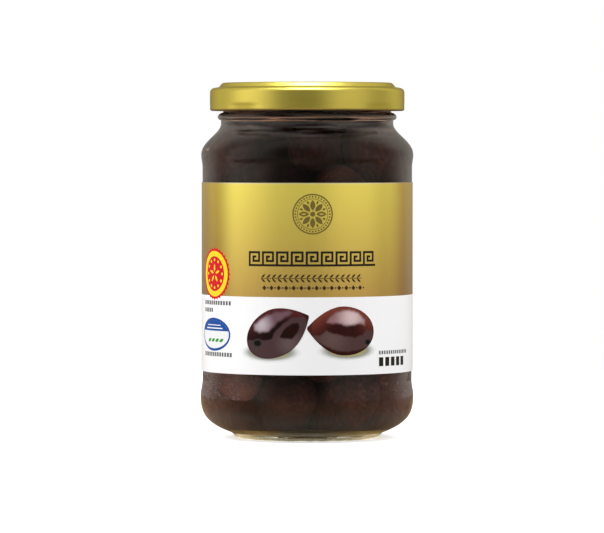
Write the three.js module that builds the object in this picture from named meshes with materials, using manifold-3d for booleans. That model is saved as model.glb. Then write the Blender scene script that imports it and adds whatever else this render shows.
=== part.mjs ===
// Jar of olives: a round glass jar with a twist-off metal lid, a wrap-round paper label
// and a heap of whole dark olives. Millimetres, +Z up, label facing -Y, foot at z = 0.

import * as THREE from 'three';
import { mergeVertices } from 'three/addons/utils/BufferGeometryUtils.js';
import Module from 'manifold-3d';

const wasm = await Module();
wasm.setup();

// Driving dimensions

const SIDES = 60; // straight sides that stand for one full turn

const FOOT_INNER_R = 18.4; // flat ring that the jar stands on
const FOOT_OUTER_R = 22.0;
const PUSH_UP = 2.4; // hollow under the middle of the base
const BASE_EDGE_R = 25.9; // kink between the foot and the heel
const BASE_EDGE_Z = 1.9;
const LOW_BUMPER_R = 36.45; // widest ring, below the label
const LOW_BUMPER_Z = 14.2;
const PANEL_R = 35.8; // straight wall behind the label
const PANEL_BOTTOM_Z = 20.0;
const PANEL_TOP_Z = 92.2;
const HIGH_BUMPER_R = 36.25; // ring above the label, where the shoulder starts
const HIGH_BUMPER_Z = 96.7;
const SHOULDER_MID_R = 33.0; // where the shoulder turns from round to hollow
const SHOULDER_MID_Z = 102.4;
const NECK_R = 29.45;
const NECK_Z = 107.2;
const BEAD_R = 30.65; // transfer bead under the lid
const BEAD_BOTTOM_Z = 108.5;
const BEAD_TOP_Z = 111.2;
const FINISH_R = 28.7; // glass inside the lid
const RIM_Z = 120.4;
const RIM_ROUND = 0.8;

const BORE_R = 26.2;
const WALL = 2.4;
const SHOULDER_IN_TOP_Z = 107.6;
const SHOULDER_IN_BOTTOM_Z = 96.6;
const HEEL_IN_TOP_Z = 15.0;
const FLOOR_IN_R = 19.0;
const FLOOR_EDGE_Z = 4.3;
const FLOOR_MID_Z = 6.4;

const THREAD_PITCH = 90; // degrees from one of the four threads to the next
const THREAD_TURN = 72; // degrees that each thread runs round the finish
const THREAD_MIDDLE_Z = 114.8;
const THREAD_RISE = 3.2; // over its length, towards +X at the front
const THREAD_HALF_HEIGHT = 0.8;
const THREAD_DEPTH = 1.4;

const LID_R = 33.25;
const LID_TOP_Z = 121.3;
const LID_BOTTOM_Z = 111.7;
const LID_SHEET = 0.45;
const LID_PANEL_R = 29.0; // raised middle of the lid
const LID_STEP_R = 30.2; // foot of the step down from it
const LID_RING_Z = 119.8;
const LID_DISH_R = 25.4; // middle of the panel, pressed down a little
const LID_DISH = 0.5;
const LID_BUTTON_R = 9.0; // vacuum button in the middle
const LID_BUTTON = 0.35;
const LID_CORNER = 1.3;
const LID_CURL = 1.5; // rolled lower edge
const LUG_ANGLES = [-41, 49, 139, 229]; // degrees from the front, towards +X
const LUG_HALF_TURN = 12; // degrees
const LUG_DENT = 0.5;

const LABEL_BOTTOM_Z = 23.1;
const LABEL_TOP_Z = 87.4;
const LABEL_GAP_SIDES = 2; // sides left bare at the back
const LABEL_INNER_R = 35.87;
const LABEL_OUTER_R = 36.07;

const OLIVE_COUNT = 56;
const OLIVE_HALF_LENGTH = 12.3;
const OLIVE_R = 8.1;
const OLIVE_SPREAD = 0.14; // share by which lengths differ
const OLIVE_RINGS = 6;
const OLIVE_SLICES = 8;
const OLIVE_GAP = 0.9; // clear of the glass
const HEAP_TOP_Z = 112.0;
const SETTLE_STEPS = 240;
const SEED = 11;
const CORE_DEPTH = 7.0; // the plain core lies this far inside the glass
const CORE_SIDES = 24;

// Materials

const glass = new THREE.MeshStandardMaterial({
  color: 0xdfe9e4,
  roughness: 0.05,
  metalness: 0,
  transparent: true,
  opacity: 0.3,
  side: THREE.DoubleSide,
});
const goldLacquer = new THREE.MeshStandardMaterial({
  color: 0xc2a84c,
  roughness: 0.3,
  metalness: 0.9,
});
const printedPaper = new THREE.MeshStandardMaterial({
  color: 0xc79a4a,
  roughness: 0.4,
  metalness: 0.2,
});
const oliveSkin = new THREE.MeshStandardMaterial({
  color: 0x35201c,
  roughness: 0.3,
  metalness: 0,
});

// Shared geometry helpers

const point = (x, y) => new THREE.Vector2(x, y);

// Adds a smooth stretch to an outline, from its last point to the end point.
function bend(outline, firstPull, lastPull, end, steps) {
  const curve = new THREE.CubicBezierCurve(outline.at(-1), firstPull, lastPull, end);
  outline.push(...curve.getPoints(steps).slice(1));
}

// Turns an outline of (radius, height) points round the Z axis, from the front towards +X.
function lathe(outline, sides = SIDES) {
  return new THREE.LatheGeometry(outline, sides).rotateX(Math.PI / 2);
}

function toSolid(geometry) {
  const bare = geometry.clone();
  bare.deleteAttribute('normal');
  bare.deleteAttribute('uv');
  const merged = mergeVertices(bare);
  return new wasm.Manifold(
    new wasm.Mesh({
      numProp: 3,
      vertProperties: new Float32Array(merged.attributes.position.array),
      triVerts: new Uint32Array(merged.index.array),
    }),
  );
}

function toGeometry(solid) {
  const mesh = solid.getMesh();
  const geometry = new THREE.BufferGeometry();
  geometry.setAttribute('position', new THREE.BufferAttribute(mesh.vertProperties, 3));
  geometry.setIndex(new THREE.BufferAttribute(mesh.triVerts, 1));
  geometry.computeVertexNormals();
  return geometry;
}

function named(name, geometry, material) {
  const mesh = new THREE.Mesh(geometry, material);
  mesh.name = name;
  return mesh;
}

// Glass jar

function jarOutside() {
  const outline = [point(0, PUSH_UP)];
  bend(outline, point(9, PUSH_UP), point(15, 0.7), point(FOOT_INNER_R, 0), 3);
  outline.push(point(FOOT_OUTER_R, 0));
  bend(outline, point(23.6, 0), point(25.0, 0.9), point(BASE_EDGE_R, BASE_EDGE_Z), 2);
  bend(outline, point(34.2, 4.8), point(LOW_BUMPER_R, 8.0), point(LOW_BUMPER_R, LOW_BUMPER_Z), 6);
  bend(outline, point(LOW_BUMPER_R, 16.4), point(PANEL_R, 17.8), point(PANEL_R, PANEL_BOTTOM_Z), 3);
  outline.push(point(PANEL_R, PANEL_TOP_Z));
  bend(outline, point(PANEL_R, 94.2), point(HIGH_BUMPER_R, 95.2), point(HIGH_BUMPER_R, HIGH_BUMPER_Z), 3);
  bend(
    outline,
    point(HIGH_BUMPER_R, 99.2),
    point(34.4, 101.0),
    point(SHOULDER_MID_R, SHOULDER_MID_Z),
    3,
  );
  bend(outline, point(31.6, 103.8), point(NECK_R, 105.6), point(NECK_R, NECK_Z), 3);
  outline.push(point(NECK_R, BEAD_BOTTOM_Z));
  bend(
    outline,
    point(BEAD_R + 0.4, BEAD_BOTTOM_Z + 0.3),
    point(BEAD_R + 0.4, BEAD_TOP_Z - 0.5),
    point(FINISH_R, BEAD_TOP_Z),
    4,
  );
  for (const row of [-1, 0, 1]) {
    outline.push(point(FINISH_R, THREAD_MIDDLE_Z + row * THREAD_HALF_HEIGHT));
  }
  outline.push(point(FINISH_R, RIM_Z - RIM_ROUND));
  outline.push(point(FINISH_R - RIM_ROUND, RIM_Z));
  return outline;
}

// From the rim down to the middle of the floor.
function jarInside() {
  const wallR = PANEL_R - WALL;
  const outline = [point(BORE_R + RIM_ROUND, RIM_Z), point(BORE_R, RIM_Z - RIM_ROUND)];
  outline.push(point(BORE_R, SHOULDER_IN_TOP_Z));
  bend(outline, point(BORE_R, 103.2), point(wallR, 101.6), point(wallR, SHOULDER_IN_BOTTOM_Z), 4);
  outline.push(point(wallR, HEEL_IN_TOP_Z));
  bend(outline, point(wallR, 8.6), point(28.0, FLOOR_EDGE_Z), point(FLOOR_IN_R, FLOOR_EDGE_Z), 5);
  bend(outline, point(13.0, FLOOR_EDGE_Z), point(8.0, FLOOR_MID_Z), point(0, FLOOR_MID_Z), 2);
  return outline;
}

// The three thread rows of the outline follow a slanted line, and the middle row stands out.
function jarGeometry() {
  const geometry = lathe([...jarOutside(), ...jarInside()]);
  const position = geometry.attributes.position;
  for (let i = 0; i < position.count; i++) {
    const x = position.getX(i);
    const y = position.getY(i);
    const z = position.getZ(i);
    const r = Math.hypot(x, y);
    if (Math.abs(z - THREAD_MIDDLE_Z) > THREAD_HALF_HEIGHT + 0.1 || r < FINISH_R - 0.1) continue;
    const turn = THREE.MathUtils.radToDeg(Math.atan2(x, -y));
    const along = THREE.MathUtils.euclideanModulo(turn, THREAD_PITCH) / THREAD_TURN;
    const back = (along * THREAD_TURN - THREAD_TURN) / (THREAD_PITCH - THREAD_TURN);
    const risen = along < 1 ? along : 1 - back;
    const isCrest = Math.abs(z - THREAD_MIDDLE_Z) < 0.1 && along < 1;
    const depth = isCrest ? THREAD_DEPTH * Math.sqrt(Math.sin(Math.PI * along)) : 0;
    position.setXYZ(i, (x / r) * (r + depth), (y / r) * (r + depth), z + (risen - 0.5) * THREAD_RISE);
  }
  return geometry;
}

// Lid: one pressed sheet with a rolled edge, and four lugs where that edge is pushed in.

function lidGeometry() {
  const dishZ = LID_TOP_Z - LID_DISH;
  const skirtTopZ = LID_RING_Z - LID_CORNER;
  const innerR = LID_R - LID_SHEET;
  const curlTopZ = LID_BOTTOM_Z + LID_CURL;
  const outline = [
    point(0, dishZ - LID_SHEET + LID_BUTTON),
    point(LID_BUTTON_R, dishZ - LID_SHEET),
    point(LID_DISH_R, dishZ - LID_SHEET),
    point(LID_PANEL_R - 0.4, LID_TOP_Z - LID_SHEET),
    point(LID_STEP_R - 0.5, LID_RING_Z - LID_SHEET),
    point(innerR - 0.7, LID_RING_Z - LID_SHEET - 0.5),
    point(innerR, skirtTopZ - 0.4),
    point(innerR, curlTopZ),
    point(LID_R - LID_CURL, curlTopZ - 0.3),
    point(LID_R - LID_CURL, LID_BOTTOM_Z + 0.3),
    point(LID_R - LID_CURL + 0.4, LID_BOTTOM_Z),
    point(LID_R - 0.5, LID_BOTTOM_Z),
    point(LID_R, LID_BOTTOM_Z + 1.3),
    point(LID_R, skirtTopZ),
  ];
  bend(
    outline,
    point(LID_R, skirtTopZ + 0.7),
    point(LID_R - 0.6, LID_RING_Z - 0.4),
    point(LID_R - LID_CORNER, LID_RING_Z - 0.3),
    2,
  );
  outline.push(
    point(LID_STEP_R, LID_RING_Z),
    point(LID_PANEL_R, LID_TOP_Z),
    point(LID_DISH_R + 0.4, LID_TOP_Z),
    point(LID_DISH_R, dishZ),
    point(LID_BUTTON_R, dishZ),
    point(0, dishZ + LID_BUTTON),
  );
  const geometry = lathe(outline);
  const position = geometry.attributes.position;
  for (let i = 0; i < position.count; i++) {
    if (position.getZ(i) > curlTopZ + 0.1) continue;
    const x = position.getX(i);
    const y = position.getY(i);
    const turn = THREE.MathUtils.radToDeg(Math.atan2(x, -y));
    const r = Math.hypot(x, y);
    const scale = (r - LUG_DENT * lugAt(turn)) / r;
    position.setXY(i, x * scale, y * scale);
  }
  return geometry;
}

// 1 at the middle of a lug, 0 away from it.
function lugAt(turn) {
  let most = 0;
  for (const middle of LUG_ANGLES) {
    const away = Math.abs(THREE.MathUtils.euclideanModulo(turn - middle + 180, 360) - 180);
    most = Math.max(most, 1 - THREE.MathUtils.smoothstep(away, LUG_HALF_TURN - 5, LUG_HALF_TURN));
  }
  return most;
}

// Label: a thin band with a bare strip left at the back.

function labelGeometry() {
  const side = (2 * Math.PI) / SIDES;
  const half = (SIDES - LABEL_GAP_SIDES) / 2;
  const shape = new THREE.Shape();
  for (let i = -half; i <= half; i++) {
    const x = LABEL_OUTER_R * Math.sin(i * side);
    const y = -LABEL_OUTER_R * Math.cos(i * side);
    if (i === -half) shape.moveTo(x, y);
    else shape.lineTo(x, y);
  }
  for (let i = half; i >= -half; i--) {
    shape.lineTo(LABEL_INNER_R * Math.sin(i * side), -LABEL_INNER_R * Math.cos(i * side));
  }
  shape.closePath();
  const depth = LABEL_TOP_Z - LABEL_BOTTOM_Z;
  return new THREE.ExtrudeGeometry(shape, { depth, bevelEnabled: false }).translate(0, 0, LABEL_BOTTOM_Z);
}

// Olives: each is treated as three balls in a row while the heap settles.

function seeded(seed) {
  let state = seed;
  return () => {
    state = (state * 16807) % 2147483647;
    return state / 2147483647;
  };
}

const insideOutline = jarInside();

// Radius of the inside of the glass at a height.
function insideRadius(z) {
  for (let i = 1; i < insideOutline.length; i++) {
    const upper = insideOutline[i - 1];
    const lower = insideOutline[i];
    if (z <= upper.y && z >= lower.y && upper.y > lower.y) {
      return THREE.MathUtils.mapLinear(z, upper.y, lower.y, upper.x, lower.x);
    }
  }
  return z > RIM_Z - 1 ? BORE_R : FLOOR_IN_R;
}

function scatterOlives() {
  const draw = seeded(SEED);
  const sizes = Array.from({ length: OLIVE_COUNT }, () => 1 + OLIVE_SPREAD * (draw() - 0.5));
  return sizes.map((size, i) => {
    const half = OLIVE_HALF_LENGTH * size;
    const middleR = OLIVE_R * (0.5 + 0.5 * size);
    const reach = half / 2;
    const endR = middleR * Math.sqrt(1 - reach ** 2 / (half ** 2 - middleR ** 2));
    const away = (PANEL_R - WALL - 9) * Math.sqrt(draw());
    const turn = i * 2.399963;
    const z = THREE.MathUtils.lerp(12, 101, (i + 0.5) / OLIVE_COUNT);
    const middle = new THREE.Vector3(away * Math.sin(turn), away * Math.cos(turn), z);
    const heading = 2 * Math.PI * draw();
    const rise = 0.9 * (2 * draw() - 1);
    const flat = Math.sqrt(1 - rise * rise);
    const along = new THREE.Vector3(flat * Math.cos(heading), flat * Math.sin(heading), rise);
    return {
      half,
      reach,
      radii: [endR, middleR, endR],
      ends: [
        middle.clone().addScaledVector(along, -reach),
        middle.clone().addScaledVector(along, reach),
      ],
    };
  });
}

function balls(olive) {
  const [start, end] = olive.ends;
  return [start, start.clone().add(end).multiplyScalar(0.5), end];
}

// Pushes olives that cross apart, each by the mean of its pushes.
function pushApart(olives) {
  const places = olives.map(balls);
  const pushes = olives.map(() => [new THREE.Vector3(), new THREE.Vector3()]);
  const counts = olives.map(() => [0, 0]);
  const note = (which, ball, push) => {
    const touched = [[0], [0, 1], [1]][ball];
    for (const end of touched) {
      pushes[which][end].add(push);
      counts[which][end] += 1;
    }
  };
  const gap = new THREE.Vector3();
  for (let a = 0; a < olives.length; a++) {
    for (let b = a + 1; b < olives.length; b++) {
      for (let p = 0; p < 3; p++) {
        for (let q = 0; q < 3; q++) {
          gap.subVectors(places[b][q], places[a][p]);
          const distance = gap.length();
          const over = olives[a].radii[p] + olives[b].radii[q] - distance;
          if (over <= 0) continue;
          gap.multiplyScalar((0.5 * over) / distance);
          note(b, q, gap);
          note(a, p, gap.negate());
        }
      }
    }
  }
  olives.forEach((olive, i) => {
    olive.ends.forEach((end, k) => end.addScaledVector(pushes[i][k], 1 / Math.max(counts[i][k], 1)));
  });
}

// Moves a ball back inside the glass, and returns the move.
function moveInside(place, radius) {
  const reach = radius + OLIVE_GAP;
  const away = Math.hypot(place.x, place.y) + 1e-9;
  let most = 0;
  let out = 0;
  let up = 0;
  for (let tilt = -90; tilt <= 90; tilt += 30) {
    const level = Math.cos(THREE.MathUtils.degToRad(tilt));
    const steep = Math.sin(THREE.MathUtils.degToRad(tilt));
    const over = (away + reach * level - insideRadius(place.z + reach * steep)) * level;
    if (level > 1e-6 && over > most) {
      most = over;
      out = level;
      up = steep;
    }
  }
  const low = Math.max(FLOOR_EDGE_Z + 1.3 + reach - place.z, 0);
  const high = Math.max(place.z + reach - HEAP_TOP_Z, 0);
  const inward = (-most * out) / away;
  return new THREE.Vector3(place.x * inward, place.y * inward, -most * up + low - high);
}

function keepInside(olive) {
  const [start, end] = olive.ends;
  start.add(moveInside(start, olive.radii[0]));
  const shift = moveInside(balls(olive)[1], olive.radii[1]);
  start.add(shift);
  end.add(shift);
  end.add(moveInside(end, olive.radii[2]));
}

function keepLength(olive) {
  const [start, end] = olive.ends;
  const along = end.clone().sub(start);
  const error = along.length() / 2 - olive.reach;
  along.normalize();
  start.addScaledVector(along, error);
  end.addScaledVector(along, -error);
}

function settledOlives() {
  const olives = scatterOlives();
  for (let step = 0; step < SETTLE_STEPS; step++) {
    pushApart(olives);
    olives.forEach(keepInside);
    olives.forEach(keepLength);
  }
  return olives;
}

function oliveGeometry(olive) {
  const [start, end] = olive.ends;
  const along = end.clone().sub(start).normalize();
  const geometry = new THREE.SphereGeometry(1, OLIVE_SLICES, OLIVE_RINGS);
  geometry.scale(olive.radii[1], olive.half, olive.radii[1]);
  geometry.applyQuaternion(new THREE.Quaternion().setFromUnitVectors(new THREE.Vector3(0, 1, 0), along));
  const middle = balls(olive)[1];
  return geometry.translate(middle.x, middle.y, middle.z);
}

// Plain core with the olives fused on. Only its outer shell is kept, so nothing is hollow.
function heapGeometry() {
  const core = [point(0, FLOOR_EDGE_Z + CORE_DEPTH)];
  for (const z of [FLOOR_EDGE_Z + CORE_DEPTH, 18, 60, 96, 103, HEAP_TOP_Z - CORE_DEPTH]) {
    core.push(point(insideRadius(z) - CORE_DEPTH, z));
  }
  core.push(point(0, HEAP_TOP_Z - CORE_DEPTH));
  let heap = toSolid(lathe(core, CORE_SIDES));
  for (const olive of settledOlives()) {
    heap = heap.add(toSolid(oliveGeometry(olive)));
  }
  const shells = heap.decompose();
  const outer = shells.reduce((a, b) => (b.volume() > a.volume() ? b : a));
  return toGeometry(outer);
}

const jarOfOlives = new THREE.Group();
jarOfOlives.add(named('jar', jarGeometry(), glass));
jarOfOlives.add(named('lid', lidGeometry(), goldLacquer));
jarOfOlives.add(named('label', labelGeometry(), printedPaper));
jarOfOlives.add(named('olives', heapGeometry(), oliveSkin));

export default jarOfOlives;
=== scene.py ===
"""A shut glass jar of whole dark olives in brine, with a gold lid and a wrap-round label."""

import math

import bmesh
import bpy
import numpy as np
from bpy.props import FloatProperty, FloatVectorProperty, IntProperty, PointerProperty
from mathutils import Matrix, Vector


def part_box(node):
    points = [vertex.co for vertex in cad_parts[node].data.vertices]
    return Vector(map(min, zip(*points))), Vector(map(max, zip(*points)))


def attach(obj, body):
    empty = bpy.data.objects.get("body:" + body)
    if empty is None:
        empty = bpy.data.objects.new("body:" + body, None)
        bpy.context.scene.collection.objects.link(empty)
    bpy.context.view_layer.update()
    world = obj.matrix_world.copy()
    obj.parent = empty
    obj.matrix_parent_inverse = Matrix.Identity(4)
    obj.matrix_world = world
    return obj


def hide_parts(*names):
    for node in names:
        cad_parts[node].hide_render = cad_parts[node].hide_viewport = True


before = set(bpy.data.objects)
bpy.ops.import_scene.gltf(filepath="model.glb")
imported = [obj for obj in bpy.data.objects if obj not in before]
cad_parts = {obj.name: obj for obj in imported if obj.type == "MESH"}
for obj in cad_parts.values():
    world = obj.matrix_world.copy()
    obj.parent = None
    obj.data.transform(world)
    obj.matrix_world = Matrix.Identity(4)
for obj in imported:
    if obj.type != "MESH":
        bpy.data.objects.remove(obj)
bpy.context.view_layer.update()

bl_info = {
    "name": "Jar of olives",
    "version": (1, 0, 0),
    "blender": (4, 5, 0),
    "location": "3D View > Sidebar > Jar of olives",
    "description": "Builds a shut jar of olives in brine, piece by piece",
    "category": "Add Mesh",
}

MM = 0.001
TAU = 2 * math.pi
BODY = "root"
LID_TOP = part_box("lid")[1][2]
LID_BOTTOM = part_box("lid")[0][2]
LID_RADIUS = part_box("lid")[1][0]
LABEL_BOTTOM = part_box("label")[0][2]
LABEL_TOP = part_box("label")[1][2]
LABEL_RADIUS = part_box("label")[1][0]
RIM_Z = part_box("jar")[1][2]
BUMPER_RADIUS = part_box("jar")[1][0]


# Settings that a user would change


def length(name, millimetres, description):
    return FloatProperty(
        name=name,
        description=description,
        default=millimetres * MM,
        min=0.0,
        precision=5,
        subtype="DISTANCE",
        unit="LENGTH",
    )


def colour(name, rgb, description):
    return FloatVectorProperty(
        name=name,
        description=description,
        default=rgb,
        size=3,
        min=0.0,
        max=1.0,
        subtype="COLOR",
    )


class JarGlassSettings(bpy.types.PropertyGroup):
    foot_inner: length("Foot inner radius", 18.4, "Inner edge of the ring that the jar stands on")
    foot_outer: length("Foot outer radius", 22.0, "Outer edge of the flat ring")
    push_up: length("Push-up", 2.4, "Hollow under the middle of the base")
    base_edge: length("Base edge radius", 25.9, "Kink between the foot and the heel")
    panel: length("Panel radius", 35.8, "Straight wall behind the label")
    upper_bumper: length("Upper bumper radius", 36.25, "Ring above the label")
    neck: length("Neck radius", 29.45, "Narrowest part under the bead")
    bead: length("Bead radius", 30.65, "Ring of glass just under the lid")
    finish: length("Finish radius", 28.7, "Glass inside the lid, without its threads")
    bore: length("Bore radius", 26.2, "Mouth of the jar")
    wall: length("Wall", 2.4, "Thickness of the glass")
    floor: length("Floor height", 4.3, "Lowest point of the inside")
    stipple: length("Stipple height", 0.22, "Small bumps on the base edge")
    tint: colour("Glass colour", (0.985, 0.985, 0.97), "Faint tint of the glass")


class JarLidSettings(bpy.types.PropertyGroup):
    sheet: length("Sheet", 0.45, "Thickness of the metal")
    panel: length("Panel radius", 29.0, "Raised middle")
    step: length("Step radius", 30.2, "Foot of the step round the middle")
    step_height: length("Step height", 1.5, "From the outer ring up to the middle")
    curl: length("Curl", 1.5, "Height of the rolled lower edge")
    lug_dent: length("Lug dent", 0.55, "How far each lug is pushed in")
    gold: colour("Lid gold", (0.76, 0.66, 0.12), "Lacquer on the metal")


class JarLabelSettings(bpy.types.PropertyGroup):
    thickness: length("Paper", 0.2, "Thickness of the label with its glue")
    back_gap: length("Back gap", 7.5, "Bare strip between the label's two ends")
    white_height: length("White band", 26.1, "Height of the white field")
    ink: length("Ink", 0.03, "How far the print stands on the paper")
    artwork_shift: length("Artwork shift", 1.8, "Middle of the print, right of the front")
    gold_top: colour("Gold, top", (0.90, 0.76, 0.13), "Upper edge of the gold field")
    gold_bottom: colour("Gold, bottom", (0.56, 0.36, 0.085), "Lower edge of the gold field")
    white: colour("White", (0.90, 0.895, 0.90), "Lower field")


class JarOliveSettings(bpy.types.PropertyGroup):
    count: IntProperty(name="Olives", description="Olives in the jar", default=56, min=1, max=80)
    half_length: length("Half length", 12.3, "Middle to tip of a mean olive")
    radius: length("Radius", 8.1, "Radius of a mean olive")
    gap: length("Gap", 0.9, "Clear of the glass")
    heap_top: length("Heap top", 112.0, "Highest olive")
    seed: IntProperty(name="Seed", description="Start of every random draw", default=11, min=1)
    dark: colour("Dark skin", (0.032, 0.013, 0.012), "Ripest olives")
    red: colour("Red skin", (0.19, 0.050, 0.028), "Less ripe olives")
    brine_level: length("Brine level", 114.0, "Height of the surface of the brine")
    cloudiness: FloatProperty(
        name="Cloudiness", description="How much the brine scatters light", default=2.4, min=0.0
    )
    brine: colour("Brine colour", (0.86, 0.68, 0.57), "What light keeps on its way through")


SETTINGS = {
    "jar_glass": JarGlassSettings,
    "jar_lid": JarLidSettings,
    "jar_label": JarLabelSettings,
    "jar_olives": JarOliveSettings,
}


# Shared helpers


def bend(outline, first_pull, last_pull, end, steps=16):
    """Adds a smooth stretch to an outline, from its last point to the end point."""
    a, b, c, d = (np.array(p, float) for p in (outline[-1], first_pull, last_pull, end))
    for t in np.linspace(0, 1, steps + 1)[1:]:
        s = 1 - t
        outline.append(tuple(s**3 * a + 3 * s * s * t * b + 3 * s * t * t * c + t**3 * d))


def straight(outline, end, steps=8):
    """Adds a straight stretch in short steps."""
    a, b = np.array(outline[-1], float), np.array(end, float)
    outline += [tuple(a + (b - a) * i / steps) for i in range(1, steps + 1)]


def rounded(corners, steps=5):
    """Outline through corners (radius, height, rounding), each rounded by that much."""
    outline = []
    for i, (r, z, size) in enumerate(corners):
        here = np.array((r, z), float)
        if size == 0:
            outline.append(tuple(here))
            continue
        before = np.array(corners[i - 1][:2], float) - here
        after = np.array(corners[i + 1][:2], float) - here
        start = here + before / np.linalg.norm(before) * size
        end = here + after / np.linalg.norm(after) * size
        outline.append(tuple(start))
        bend(outline, start + (here - start) * 0.55, end + (here - end) * 0.55, end, steps)
    return outline


def new_object(name, vertices, faces, smooth=True, sharp=None):
    """A mesh object in the scene. Edges sharper than an angle in degrees stay sharp."""
    mesh = bpy.data.meshes.new(name)
    mesh.from_pydata([tuple(v) for v in vertices], [], faces)
    mesh.validate()
    mesh.polygons.foreach_set("use_smooth", [smooth] * len(mesh.polygons))
    if sharp is not None:
        mesh.set_sharp_from_angle(angle=math.radians(sharp))
    mesh.update()
    piece = bpy.data.objects.new(name, mesh)
    bpy.context.scene.collection.objects.link(piece)
    return piece


def turned(name, outline, sides, relief=None, sharp=None, unit=MM):
    """A closed mesh turned round Z. The outline starts and ends on the axis, outside first."""
    rings = np.array(outline[1:-1], float)
    turn = np.arange(sides) * TAU / sides
    r = np.repeat(rings[:, :1], sides, axis=1)
    z = np.repeat(rings[:, 1:], sides, axis=1)
    if relief:
        r, z = relief(r, z, turn[None, :])
    points = np.stack([r * np.sin(turn), -r * np.cos(turn), z], axis=-1).reshape(-1, 3)
    first, last = len(points), len(points) + 1
    points = np.vstack([points, (0, 0, outline[0][1]), (0, 0, outline[-1][1])]) * unit
    faces = []
    top = (len(rings) - 1) * sides
    for k in range(sides):
        n = (k + 1) % sides
        faces.append((first, n, k))
        faces += [(i + k, i + n, i + n + sides, i + k + sides) for i in range(0, top, sides)]
        faces.append((top + k, top + n, last))
    return new_object(name, points, faces, sharp=sharp)


def baked(piece):
    """Turns an object and its modifiers into a plain mesh."""
    graph = bpy.context.evaluated_depsgraph_get()
    mesh = bpy.data.meshes.new_from_object(piece.evaluated_get(graph), depsgraph=graph)
    piece.modifiers.clear()
    piece.data = mesh
    return piece


def joined(name, pieces):
    """One object from several, with their materials kept."""
    with bpy.context.temp_override(active_object=pieces[0], selected_editable_objects=pieces):
        bpy.ops.object.join()
    pieces[0].name = name
    pieces[0].data.name = name
    return pieces[0]


def keep(piece, slot, *nodes):
    """Rides a piece on the jar's body and hides the nodes it replaces. The slot is not used."""
    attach(piece, BODY)
    if nodes:
        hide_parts(*nodes)


def add(tree, kind, inputs=None, **settings):
    """A node with its settings. Each input is a value or another node's output."""
    node = tree.nodes.new(kind)
    for key, value in settings.items():
        setattr(node, key, value)
    for socket, value in (inputs or {}).items():
        if isinstance(value, bpy.types.NodeSocket):
            tree.links.new(value, node.inputs[socket])
        else:
            node.inputs[socket].default_value = value
    return node


def rgba(rgb):
    return (*rgb, 1.0)


def material(name):
    """A material with a Principled shader: (material, tree, shader, object coordinates)."""
    made = bpy.data.materials.new(name)
    made.use_nodes = True
    tree = made.node_tree
    shader = tree.nodes["Principled BSDF"]
    place = add(tree, "ShaderNodeTexCoord").outputs["Object"]
    return made, tree, shader, place


def noise(tree, place, scale, detail=3.0, roughness=0.5):
    inputs = {"Vector": place, "Scale": scale, "Detail": detail, "Roughness": roughness}
    return add(tree, "ShaderNodeTexNoise", inputs).outputs["Fac"]


def ramp(tree, fac, stops, interpolation="LINEAR"):
    """A colour ramp through (position, rgb or grey) stops."""
    node = add(tree, "ShaderNodeValToRGB", {"Fac": fac})
    node.color_ramp.interpolation = interpolation
    elements = node.color_ramp.elements
    while len(elements) < len(stops):
        elements.new(0.5)
    for element, (position, value) in zip(elements, stops):
        element.position = position
        element.color = rgba(value) if isinstance(value, tuple) else (value, value, value, 1.0)
    return node.outputs["Color"]


def bump(tree, shader, height, distance, strength):
    inputs = {"Height": height, "Distance": distance, "Strength": strength}
    node = add(tree, "ShaderNodeBump", inputs)
    tree.links.new(node.outputs["Normal"], shader.inputs["Normal"])


def set_inputs(shader, **values):
    """Sets or links inputs by name, with _ for each space."""
    for key, value in values.items():
        socket = shader.inputs[key.replace("_", " ")]
        if isinstance(value, bpy.types.NodeSocket):
            shader.id_data.links.new(value, socket)
        else:
            socket.default_value = value


def maths(tree, operation, *values, clamped=False):
    """The result of a maths node. Each value is a number or another node's output."""
    inputs = dict(enumerate(values))
    node = add(tree, "ShaderNodeMath", inputs, operation=operation, use_clamp=clamped)
    return node.outputs[0]


def mixed(tree, share, a, b, kind="RGBA", blend_type="MIX"):
    """Value a turned into value b by a share."""
    inputs = {"Factor": share, "A": a, "B": b}
    node = add(tree, "ShaderNodeMix", inputs, data_type=kind, blend_type=blend_type)
    return node.outputs["Result"]


def multiplied(tree, a, b):
    return mixed(tree, 1.0, a, b, blend_type="MULTIPLY")


def share_between(tree, value, low, high):
    """How far a value has come from low to high, from 0 to 1."""
    inputs = {"Value": value, "From Min": low, "From Max": high}
    return add(tree, "ShaderNodeMapRange", inputs).outputs["Result"]


def axes_of(tree, vector):
    return add(tree, "ShaderNodeSeparateXYZ", {"Vector": vector}).outputs


def shade_round(tree, axes, stops):
    """A ramp by azimuth in degrees: 0 is the front, 90 is the right."""
    turn = maths(tree, "ARCTAN2", axes["X"], maths(tree, "MULTIPLY", axes["Y"], -1.0))
    share = share_between(tree, turn, -math.pi, math.pi)
    return ramp(tree, share, [((degrees + 180) / 360, value) for degrees, value in stops], "EASE")


def new_tree(name, inputs):
    """A geometry-nodes tree with named inputs and their kinds: (tree, its inputs)."""
    tree = bpy.data.node_groups.new(name, "GeometryNodeTree")
    for key, kind in {"Geometry": "Geometry", **inputs}.items():
        tree.interface.new_socket(key, in_out="INPUT", socket_type="NodeSocket" + kind)
    tree.interface.new_socket("Geometry", in_out="OUTPUT", socket_type="NodeSocketGeometry")
    return tree, add(tree, "NodeGroupInput").outputs


def real_copies(tree, points, instance, rotation, **inputs):
    """A real copy of a shape on every point."""
    inputs = {"Points": points, "Instance": instance, "Rotation": rotation, **inputs}
    placed = add(tree, "GeometryNodeInstanceOnPoints", inputs).outputs["Instances"]
    return add(tree, "GeometryNodeRealizeInstances", {"Geometry": placed}).outputs["Geometry"]


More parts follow.
